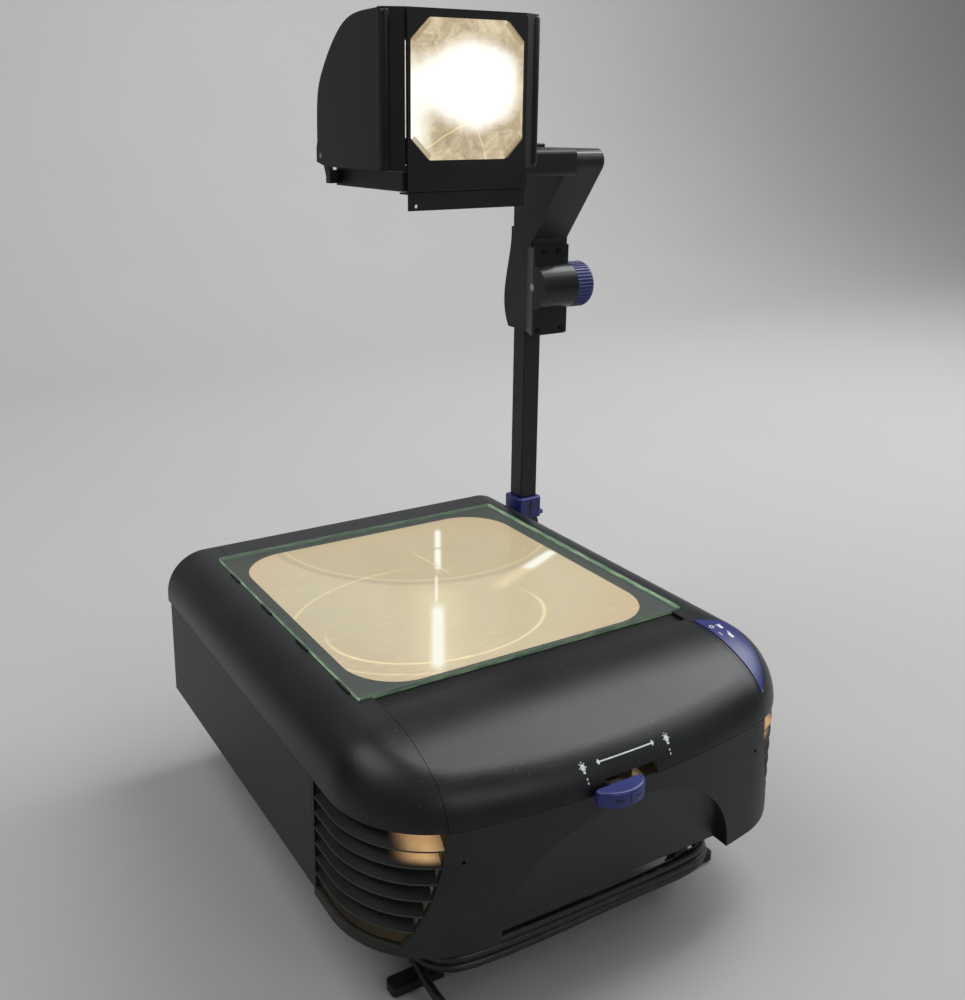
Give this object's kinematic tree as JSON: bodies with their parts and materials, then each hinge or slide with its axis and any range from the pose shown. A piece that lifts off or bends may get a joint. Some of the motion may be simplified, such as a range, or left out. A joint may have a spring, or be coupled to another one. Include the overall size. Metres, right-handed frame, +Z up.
{
  "type": "overhead projector",
  "caption": "Overhead projector with a lit glass stage in a rounded casing, a focusing arm on a square mast, a mirror head and a wound mains lead.",
  "frame": {"origin": "bottom centre of the object's own box, on the surface it stands on, without its loose cord", "axes": "+Z up, +Y from the front cover towards the rear panel, +X towards the mast's side"},
  "size_m": [0.4484, 0.6365, 0.7095],
  "materials": {
    "top_shell": "fine-grained dark blue-black moulded plastic",
    "lower_shell": "satin dark grey moulded plastic",
    "head_shell": "satin grey moulded plastic",
    "arm_shell": "satin dark grey moulded plastic",
    "drive_cover": "smooth dark plastic",
    "blue_plastic": "blue moulded plastic",
    "mast_tube": "brushed and painted steel tube",
    "stage_glass": "clear float glass with polished edges",
    "optics": "clear moulded optics",
    "mirror": "front-silvered mirror",
    "reflector": "bright spun aluminium",
    "steel": "zinc-plated steel",
    "screws": "blackened steel",
    "black_plastic": "black plastic",
    "lamp_glass": "clear quartz",
    "rubber": "black rubber",
    "cord": "black cord sheath"
  },
  "bodies": {
    "base": {"left_top_rail": "top_shell", "right_top_rail": "top_shell", "rear_cover": "top_shell", "cover_hinge_pins": "steel", "front_bezel": "lower_shell", "left_vent_louvres": "lower_shell", "right_vent_louvres": "lower_shell", "left_side_panel": "lower_shell", "right_side_panel": "lower_shell", "rear_panel": "lower_shell", "base_tray": "lower_shell", "stage_frame": "black_plastic", "fresnel_lens": "optics", "stage_mask": "black_plastic", "stage_glass": "stage_glass", "fold_mirror": "mirror", "fold_mirror_bracket": "steel", "condenser_lens": "optics", "lamp_bracket": "steel", "reflector": "reflector", "fan_housing": "black_plastic", "transformer": "steel", "terminal_block": "black_plastic", "power_switch": "black_plastic", "feet": "lower_shell", "foot_pads": "rubber", "casing_screws": "screws", "mast_bracket": "arm_shell", "mast_pivot_pin": "steel", "cord_gland": "rubber", "cord_winding": "cord", "cord_lead": "cord", "cord_tail": "cord", "plug": "cord"},
    "cover": {"front_cover": "top_shell"},
    "lamp_changer": {"lamp_carriage": "black_plastic", "lamp_sockets": "black_plastic", "lamps": "lamp_glass", "lamp_slider": "blue_plastic"},
    "rocker": {"power_rocker": "blue_plastic"},
    "fan": {"fan_impeller": "black_plastic"},
    "mast": {"mast_tube": "mast_tube", "mast_cap": "black_plastic"},
    "collar": {"lock_collar": "blue_plastic"},
    "arm": {"arm_casting": "arm_shell", "slide_bushes": "black_plastic", "drive_cover": "drive_cover", "drive_cover_screws": "screws", "lens_frame": "head_shell", "objective_lens": "optics", "glare_flap": "head_shell"},
    "knob": {"knob_shaft": "steel", "focus_knob": "blue_plastic"},
    "idler": {"idler_wheel": "rubber"},
    "hood": {"hood": "head_shell", "head_mirror": "mirror", "window_frame": "head_shell", "window_glass": "optics", "window_clips": "steel", "hood_pins": "steel"}
  },
  "joints": [
    {"name": "cover_hinge", "type": "hinge", "parent": "base", "child": "cover", "pos_m": [-0.02622, -0.123, 0.2124], "axis": [-1, 0, 0], "range_deg": [0, 70]},
    {"name": "lamp_change", "type": "slide", "parent": "base", "child": "lamp_changer", "axis": [1, 0, 0], "range_m": [0, 0.033]},
    {"name": "power_press", "type": "hinge", "parent": "base", "child": "rocker", "pos_m": [0.13378, -0.1255, 0.213], "axis": [1, 0, 0], "range_deg": [0, 2], "stiffness_Nm_per_rad": 0.5, "springref_deg": -3.44},
    {"name": "fan_spin", "type": "hinge", "parent": "base", "child": "fan", "pos_m": [-0.12122, 0.1995, 0.126], "axis": [0, 1, 0], "continuous": true},
    {"name": "mast_fold", "type": "hinge", "parent": "base", "child": "mast", "pos_m": [0.18777, 0.2175, 0.1795], "axis": [1, 0, 0], "range_deg": [0, 36]},
    {"name": "collar_lift", "type": "slide", "parent": "mast", "child": "collar", "axis": [0, 0, 1], "range_m": [0, 0.018]},
    {"name": "arm_slide", "type": "slide", "parent": "mast", "child": "arm", "axis": [0, 0, 1], "range_m": [-0.15, 0.06]},
    {"name": "knob_turn", "type": "hinge", "parent": "arm", "child": "knob", "pos_m": [0.21377, 0.172, 0.459], "axis": [1, 0, 0], "range_deg": [-870, 360]},
    {"name": "idler_turn", "type": "hinge", "parent": "arm", "child": "idler", "pos_m": [0.18777, 0.19445, 0.459], "axis": [1, 0, 0], "range_deg": [-290, 700]},
    {"name": "hood_tilt", "type": "hinge", "parent": "arm", "child": "hood", "pos_m": [-0.02622, 0.1285, 0.598], "axis": [-1, 0, 0], "range_deg": [0, 20]}
  ],
  "couplings": [
    {"joint": "knob_turn", "follows": "arm_slide", "rad_per_m": 100},
    {"joint": "idler_turn", "follows": "arm_slide", "rad_per_m": -80.32}
  ]
}
